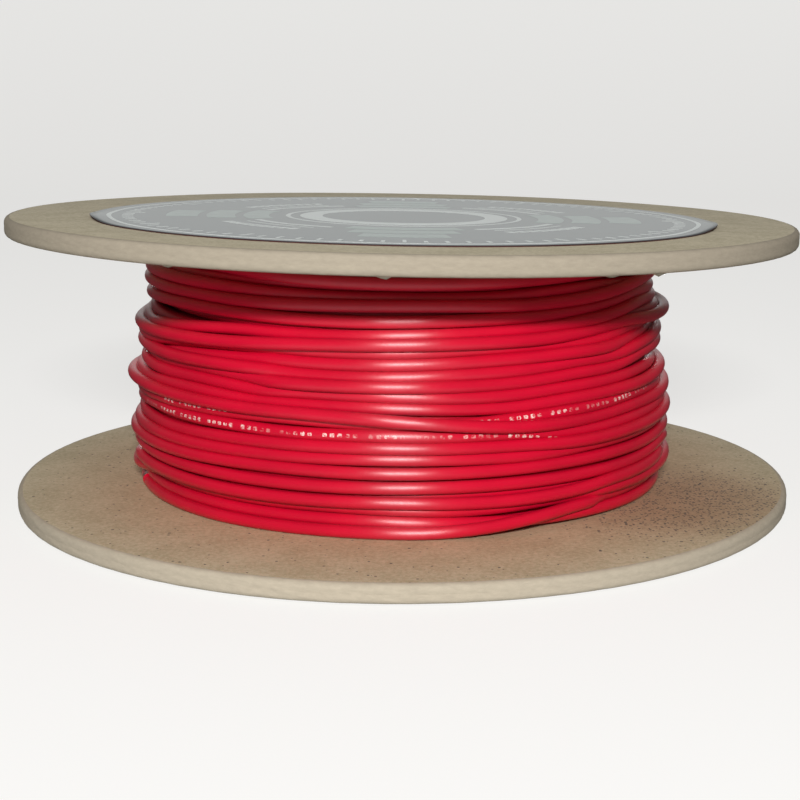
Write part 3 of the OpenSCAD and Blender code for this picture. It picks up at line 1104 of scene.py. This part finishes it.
def bed_ring(wire_d):
    """The layers out of sight, as one ring whose outside has the ridges of turns."""
    turns = UNDER_TURNS[0]
    pitch = (UPPER_Z - FLANGE_T - BED_SHORT) / turns
    across = np.linspace(-1, 1, RIDGE_POINTS + 1)[:-1]
    ridges = np.arange(turns)[:, None] + 0.5
    heights = (FLANGE_T + BED_GAP + pitch * (ridges + across / 2)).ravel()
    bulge = np.tile(np.sqrt(1 - (RIDGE_DEPTH * across) ** 2), turns)
    direction = (np.arange(BED_SEGMENTS) / BED_SEGMENTS * FULL_TURN)[:, None]
    radii = bed_radius(heights[None, :], direction) + wire_d / 2 * (bulge - 1)
    heights = np.concatenate([heights[:1], heights, heights[-1:]])
    radii = np.pad(radii, ((0, 0), (1, 1)), constant_values=CORE_R + TUBE_GAP)
    points = wire_points(direction, radii, np.broadcast_to(heights, radii.shape))
    return points.reshape(-1, 3), grid_quads(BED_SEGMENTS, len(heights), True, True).tolist()


# ---------------------------------------------------------- wire end and tape

STRAND_RINGS = ((1, 0.0), (5, 0.28), (10, 0.56))  # strands in a ring, and its radius in mm
STRAND_R = 0.125
STRAND_SIDES = 10
STRAND_STEPS = 9
STRAND_TWIST = math.radians(40)
STRAND_ROOT = 0.3  # how far inside the insulation the strands start, mm
SPLAY, LOOSE_SPLAY = 0.22, 0.05  # how far the strands spread: a share, and at random in mm
CUT_UNEVEN = 0.06  # the shortest strand is shorter by this share


def strand_tubes():
    """The bare conductor: strands that twist together and splay a little at the cut."""
    along = STRAND_POINTS @ END_AHEAD
    root = insulation_end(STRAND_ROOT)
    reach = along.max() - along.min() + STRAND_ROOT
    up = np.cross(END_OUTWARD, END_AHEAD)
    rng = np.random.default_rng(4)
    share = np.linspace(0, 1, STRAND_STEPS)
    tubes = []
    for count, ring in STRAND_RINGS:
        for strand in range(count):
            turn = FULL_TURN * strand / count + STRAND_TWIST * share
            splay = ring * (1 + SPLAY * share**2) + LOOSE_SPLAY * rng.uniform() * share**2
            cut = reach * (1 - CUT_UNEVEN * rng.uniform())
            line = (
                root
                + (cut * share)[:, None] * END_AHEAD
                + (splay * np.cos(turn))[:, None] * END_OUTWARD
                + (splay * np.sin(turn))[:, None] * up
            )
            tubes.append(round_tube(line, STRAND_R, STRAND_SIDES, END_OUTWARD, up))
    return tubes


TAPE_T = 0.06
TAPE_COLUMNS = 48
TAPE_SPAN = 6  # columns on each side over which the tape bridges from crest to crest
TAPE_EVEN = (4, 2)  # columns and rows on each side over which it is evened out
TAPE_TAUT = 0.75  # how far it bridges the valleys rather than dips into them
TAPE_GAP, TAPE_LEAST_GAP = 0.03, 0.02  # gap between the tape and the wire, mm


def tape_shell(direction, radii, heights, start, wire_d):
    """Tape drawn over the turns: it touches their crests and dips a little between them."""
    low, high = box_mm("end_tape")
    node_points = points_mm("end_tape")
    spread = np.arctan2(node_points[:, 1], node_points[:, 0])
    first, last = spread.min(), spread.max()
    column_z = np.linspace(low[2], high[2], TAPE_COLUMNS)
    rows = int((last - first) / STEP) + 1
    row_direction = np.linspace(first, last, rows)
    surface = np.zeros((rows, TAPE_COLUMNS))
    for i, row in enumerate(row_direction):
        offset = ((row - direction[start:]) / STEP) % STATIONS
        near = np.where((offset < 0.5) | (offset >= STATIONS - 0.5))[0] + start
        apart = column_z[:, None] - heights[near][None, :]
        rise = np.sqrt(np.maximum((wire_d / 2) ** 2 - apart**2, 0))
        surface[i] = np.where(rise > 0, radii[near][None, :] + rise, BED_R + wire_d).max(axis=1)
    crest = np.array(
        [
            [row[max(0, k - TAPE_SPAN) : k + TAPE_SPAN + 1].max() for k in range(TAPE_COLUMNS)]
            for row in surface
        ]
    )
    crest = np.array([running_mean(row, TAPE_EVEN[0]) for row in crest])
    skin = np.maximum(TAPE_TAUT * crest + (1 - TAPE_TAUT) * surface, surface) + TAPE_GAP
    for _ in range(2):
        evened = np.array([running_mean(column, TAPE_EVEN[1]) for column in skin.T]).T
        skin = np.maximum(evened, surface + TAPE_LEAST_GAP)
    z = np.broadcast_to(column_z, skin.shape)
    inner = wire_points(row_direction[:, None], skin, z)[:, ::-1]
    outer = wire_points(row_direction[:, None], skin + TAPE_T, z)
    points = np.concatenate([inner, outer], axis=1)
    columns = 2 * TAPE_COLUMNS
    faces = grid_quads(rows, columns, wrap_columns=True).tolist()
    for row, flip in ((0, False), (rows - 1, True)):
        for k in range(TAPE_COLUMNS - 1):
            a, b = row * columns + k, row * columns + columns - 1 - k
            face = [a, a + 1, b - 1, b]
            faces.append(face[::-1] if flip else face)
    return points.reshape(-1, 3), faces


# ---------------------------------------------------------------------- stage

CAMERA_PLACE = (-0.0003, -0.2746, 0.0703)
CAMERA_TILT = math.radians(78.82)
LIGHT_AIM = Vector((0, 0, 0.045))  # point that the lamps face, m
LIGHT_AWAY = 0.7  # their distance from it, m
SKY_COLOUR = (0.97, 1, 0.985, 1)
FLOOR_SEGMENTS = 96
FLOOR_FLAT = (0.001, 0.3, 0.6)  # radii of the flat floor's rings, m
FLOOR_R, FLOOR_BEND = 0.9, 0.4  # where the floor starts to curve up, and by what radius, m
FLOOR_TOP = 0.8  # height of the backdrop, m
FLOOR_GAP = 1e-4  # the floor lies this far below the spool, m
BEND_STEPS = 12
FLOOR_SHADE = 0.36  # how much of its colour the floor gets from the lamps
FLOOR_GLOW = 0.75  # and from its own pale glow


def add_lamp(name, power, size, azimuth, elevation):
    """A rectangular lamp that faces the spool from a direction, given in degrees."""
    lamp = bpy.data.lights.new(name, "AREA")
    lamp.shape = "RECTANGLE"
    lamp.size, lamp.size_y = size
    lamp.energy = power
    light = bpy.data.objects.new(name, lamp)
    light.visible_camera = False
    turn, rise = math.radians(azimuth), math.radians(elevation)
    flat = math.cos(rise)
    away = Vector((flat * math.cos(turn), flat * math.sin(turn), math.sin(rise)))
    light.location = LIGHT_AIM + LIGHT_AWAY * away
    light.rotation_euler = (-away).to_track_quat("-Z", "Y").to_euler()
    bpy.context.scene.collection.objects.link(light)


def sky_patch(world, toward, direction, facing, strength):
    """Light that changes smoothly as the sky's direction turns towards a given one."""
    turned = add_node(world, VECTOR_MATH, {0: toward, 1: direction}, operation="DOT_PRODUCT")
    ramp = {
        "Value": turned.outputs["Value"],
        "From Min": facing[0],
        "From Max": facing[1],
        "To Min": strength[0],
        "To Max": strength[1],
    }
    return add_node(world, RANGE, ramp, interpolation_type="SMOOTHSTEP")


def studio_sky(stage):
    """A dim even sky with one bright patch behind the spool and one in front of it."""
    world = bpy.data.worlds.new("Fill")
    world.use_nodes = True
    background = world.node_tree.nodes["Background"]
    background.inputs["Color"].default_value = SKY_COLOUR
    toward = add_node(world, "ShaderNodeTexCoord").outputs["Generated"]
    strength = sky_patch(world, toward, (0.0, 0.0, 1.0), (-0.1, 0.5), (stage.below, stage.fill))
    for direction, facing, most in (
        ((0.0, 0.985, 0.174), (0.88, 0.98), stage.behind),
        ((-0.12, -0.72, -0.68), (0.5, 0.97), stage.front),
    ):
        patch = sky_patch(world, toward, direction, facing, (0.0, most))
        strength = add_node(world, MATH, {0: strength, 1: patch}, operation="MAXIMUM")
    world.node_tree.links.new(strength.outputs[0], background.inputs["Strength"])
    return world


def sweep_floor(stage):
    """A round sweep: flat floor whose rim curves up into the backdrop."""
    bend = np.linspace(0, math.pi / 2, BEND_STEPS)
    radii = np.concatenate([FLOOR_FLAT, FLOOR_R + FLOOR_BEND * np.sin(bend)])
    rise = np.concatenate([[0] * len(FLOOR_FLAT), FLOOR_BEND * (1 - np.cos(bend))])
    radii, rise = np.append(radii, FLOOR_R + FLOOR_BEND), np.append(rise, FLOOR_TOP)
    direction = (np.arange(FLOOR_SEGMENTS) / FLOOR_SEGMENTS * FULL_TURN)[:, None]
    heights = np.broadcast_to(rise - FLOOR_GAP, (FLOOR_SEGMENTS, len(rise)))
    points = wire_points(direction, radii[None, :], heights).reshape(-1, 3)
    faces = grid_quads(FLOOR_SEGMENTS, len(radii), wrap_rows=True)
    mesh = bpy.data.meshes.new("Floor")
    mesh.from_pydata(points.tolist(), [], faces.tolist())
    mesh.polygons.foreach_set("use_smooth", [True] * len(mesh.polygons))
    surface = {
        "Base Color": shaded(stage.floor, FLOOR_SHADE),
        "Roughness": 0.9,
        "Specular IOR Level": 0.0,
        "Emission Color": list(stage.floor),
        "Emission Strength": FLOOR_GLOW,
    }
    mesh.materials.append(finished(new_material("pale floor"), surface))
    floor = bpy.data.objects.new("Floor", mesh)
    # The floor only shows: the light from below is the world's, which is dimmer
    floor.visible_diffuse = floor.visible_glossy = floor.visible_shadow = False
    return floor


# ------------------------------------------------------------------ operators


class WIRESPOOL_OT_stage(Operator):
    """Adds the camera, the lights and the pale floor"""

    bl_idname = "wirespool.stage"
    bl_label = "Stage"

    def execute(self, context):
        scene, stage = context.scene, context.scene.wirespool_stage
        camera = bpy.data.objects.new("Camera", bpy.data.cameras.new("Camera"))
        camera.data.lens = stage.lens
        camera.data.sensor_width = 36
        camera.location = CAMERA_PLACE
        camera.rotation_euler = (CAMERA_TILT, 0, 0)
        scene.collection.objects.link(camera)
        scene.camera = camera
        scene.view_settings.view_transform = "Standard"
        # The weaker light is low behind, out of the label's reflection
        add_lamp("Key", stage.key, (0.18, 0.035), -90.0, 20.4)
        add_lamp("Back light", stage.back, (0.3, 0.1), 90.0, -8.0)
        scene.world = studio_sky(stage)
        floor = sweep_floor(stage)
        scene.collection.objects.link(floor)
        return {"FINISHED"}


class WIRESPOOL_OT_flanges(Operator):
    """Builds the two flanges layer by layer: liner, ply, ply, liner"""

    bl_idname = "wirespool.flanges"
    bl_label = "Flanges"

    def execute(self, context):
        colours, settings = context.scene.wirespool_colours, context.scene.wirespool_flanges
        plain = kraft_paper(colours)
        specks_and_red_bounce = kraft_paper(colours, "kraft liner paper, soiled", specks_and_red_bounce=True)
        # Painted light and shade: the upper flange's edge is made a little greyer and the lower
        # one's paler, for how the key light falls on them
        cut = cut_chipboard(colours, shade=1.08)
        board_in_painted_shade = cut_chipboard(colours, "cut chipboard edge, handled", shade=0.86)
        half = FLANGE_T / 2
        levels = {
            "outer_liner": (0, LINER_T),
            "outer_ply": (LINER_T, half),
            "inner_ply": (half, FLANGE_T - LINER_T),
            "inner_liner": (FLANGE_T - LINER_T, FLANGE_T),
        }
        for end, paper, board in (("lower", specks_and_red_bounce, cut), ("upper", plain, board_in_painted_shade)):
            leaning = end == "upper"
            for layer, (low, high) in levels.items():
                if leaning:
                    low, high = FLANGE_T - high, FLANGE_T - low
                is_liner = layer.endswith("liner")
                bore = BORE_R + (LINER_BACK if is_liner else 0)
                points, faces, slots = flange_layer(low, high, bore, settings, leaning)
                add_piece(
                    f"{end}_{layer}_detail",
                    [paper, board] if is_liner else [board],
                    [(points, faces)],
                    [f"{end}_{layer}"],
                    face_slots=slots if is_liner else None,
                )
        return {"FINISHED"}


class WIRESPOOL_OT_label(Operator):
    """Builds the round label with its plain printed marks"""

    bl_idname = "wirespool.label"
    bl_label = "Label"

    def execute(self, context):
        scene = context.scene
        colours, label = scene.wirespool_colours, scene.wirespool_label
        flange = scene.wirespool_flanges
        # Dark red-brown on the label's underside and cut edge, which shows as a thin dark line
        # where the edge lifts: dull, with a fine grain
        surface = {"Roughness": 0.8, "IOR": 1.5}
        core = plain_finish("label paper edge", linear("#4a1a16"), 0.4, 0.3, 0.02, surface)
        points, faces, slots = label_disc(label, flange)
        add_piece(
            "face_label_detail",
            [laminated_label(colours), core],
            [(points, faces)],
            ["face_label"],
            face_slots=slots,
        )
        # Printer's ink under the clear film: even colour, as glossy as the label round it
        for name, finish, colour, grain_mm, contrast, patches in (
            ("label_marks", "", colours.label_marks, 0.6, 0.12, label_marks(label.ticks)),
            ("label_shapes", ", grey-green", colours.label_tint, 2.5, 0.3, label_shapes()),
        ):
            ink = f"label ink under film{finish}"
            ink = plain_finish(ink, colour, grain_mm, contrast, 0.01, FILM_GLOSS)
            parts = [label_mark(*patch, label, flange) for patch in patches]
            add_piece(name, [ink], parts, smooth=False)
        return {"FINISHED"}


class WIRESPOOL_OT_core(Operator):
    """Finishes the core tube, the hub discs and the glue beads"""

    bl_idname = "wirespool.core"
    bl_label = "Core"

    def execute(self, context):
        colours = context.scene.wirespool_colours
        # Recycled tube paper, spiral wound and unglazed: dull and coarse
        surface = {"Roughness": 0.9}
        tube = plain_finish("spiral-wound tube paper", colours.tube, 1.2, 0.25, 0.06, surface)
        # Solid board, punched: dull, with pale and dark flecks
        surface = {"Roughness": 0.88}
        hub = plain_finish("punched hub board", colours.hub, 0.8, 0.3, 0.08, surface)
        # White wood glue, dried clear to yellow: smooth and a little glossy
        surface = {"Roughness": 0.35, "IOR": 1.47}
        glue = plain_finish("dried white glue", colours.glue, 2.0, 0.15, 0.1, surface)
        paint_node("core_tube", tube)
        for end in ("lower", "upper"):
            paint_node(f"{end}_hub_disc", hub)
            paint_node(f"{end}_glue_bead", glue)
        return {"FINISHED"}


def winding_of(scene):
    """The laid wire for the scene's settings, and its diameter in millimetres."""
    settings = scene.wirespool_winding
    wire_d = settings.wire_d / MM
    return laid_wire(round(wire_d, 4), settings.seed), wire_d


class WIRESPOOL_OT_winding(Operator):
    """Winds the wire: the turns below and the outer layer"""

    bl_idname = "wirespool.winding"
    bl_label = "Winding"

    def execute(self, context):
        colours = context.scene.wirespool_colours
        (direction, radii, heights, start), wire_d = winding_of(context.scene)
        under = wire_points(direction[: start + 1], radii[: start + 1], heights[: start + 1])
        add_piece(
            "wire_turns_below",
            [extruded_pvc(colours, "extruded PVC, turns below", legend=False)],
            [wire_tube(under, wire_d / 2, UNDER_SIDES), bed_ring(wire_d)],
            ["wire_inner_layers"],
        )
        line = outer_line(direction, radii, heights, start, wire_d)
        turn = OUTER_START[0] + np.arange(len(line)) / STATIONS
        roll = running_mean(np.interp(turn, *np.array(PRINT_ROLL).T), ROLL_MEAN)
        add_piece(
            "wire_outer_turns",
            [extruded_pvc(colours, "extruded PVC, printed", legend=True)],
            [wire_tube(line, wire_d / 2, OUTER_SIDES)],
            ["wire_outer_layer"],
            uvs=wire_uvs(line, OUTER_SIDES, roll),
        )
        return {"FINISHED"}


class WIRESPOOL_OT_wire_end(Operator):
    """Adds the bare strands at the wire's end and the tape that holds it"""

    bl_idname = "wirespool.wire_end"
    bl_label = "Wire end"

    def execute(self, context):
        colours = context.scene.wirespool_colours
        # Drawn copper, cut with snips: bright pinkish metal with fine draw lines
        surface = {"Metallic": 1.0, "Roughness": 0.28}
        copper = plain_finish("drawn copper", colours.copper, 0.15, 0.2, 0.01, surface)
        add_piece("copper_strands", [copper], strand_tubes(), ["wire_end_strands"])
        # Clear packing film with a thin layer of glue: glossy, and the red shows through it
        surface = {"Roughness": 0.12, "IOR": 1.48, "Alpha": 0.24}
        tape = plain_finish("clear film tape", colours.tape, 3.0, 0.05, 0.02, surface)
        laid, wire_d = winding_of(context.scene)
        parts = [tape_shell(*laid, wire_d)]
        add_piece("end_tape_detail", [tape], parts, ["end_tape"])
        return {"FINISHED"}


class WIRESPOOL_PT_panel(Panel):
    """Lists the spool's pieces in the sidebar"""

    bl_idname = "WIRESPOOL_PT_panel"
    bl_label = "Wire Spool"
    bl_space_type = "VIEW_3D"
    bl_region_type = "UI"
    bl_category = "Wire Spool"

    def draw(self, context):
        for operator in OPERATORS:
            self.layout.operator(operator.bl_idname)
        for name, group in SETTINGS.items():
            box = self.layout.box()
            box.label(text=group.__doc__)
            for setting in group.__annotations__:
                box.prop(getattr(context.scene, name), setting)


OPERATORS = (
    WIRESPOOL_OT_stage,
    WIRESPOOL_OT_flanges,
    WIRESPOOL_OT_label,
    WIRESPOOL_OT_core,
    WIRESPOOL_OT_winding,
    WIRESPOOL_OT_wire_end,
)
SETTINGS = {
    "wirespool_colours": SpoolColours,
    "wirespool_flanges": FlangeSettings,
    "wirespool_label": LabelSettings,
    "wirespool_winding": WindingSettings,
    "wirespool_stage": StageSettings,
}
CLASSES = (*SETTINGS.values(), *OPERATORS, WIRESPOOL_PT_panel)


def register():
    for cls in CLASSES:
        bpy.utils.register_class(cls)
    for name, group in SETTINGS.items():
        setattr(bpy.types.Scene, name, PointerProperty(type=group))


def unregister():
    for name in SETTINGS:
        delattr(bpy.types.Scene, name)
    for cls in reversed(CLASSES):
        bpy.utils.unregister_class(cls)


def main():
    """Builds the whole spool."""
    register()
    bpy.ops.wirespool.stage()
    bpy.ops.wirespool.flanges()
    bpy.ops.wirespool.label()
    bpy.ops.wirespool.core()
    bpy.ops.wirespool.winding()
    bpy.ops.wirespool.wire_end()
    bpy.context.view_layer.update()


if __name__ == "__main__":
    main()
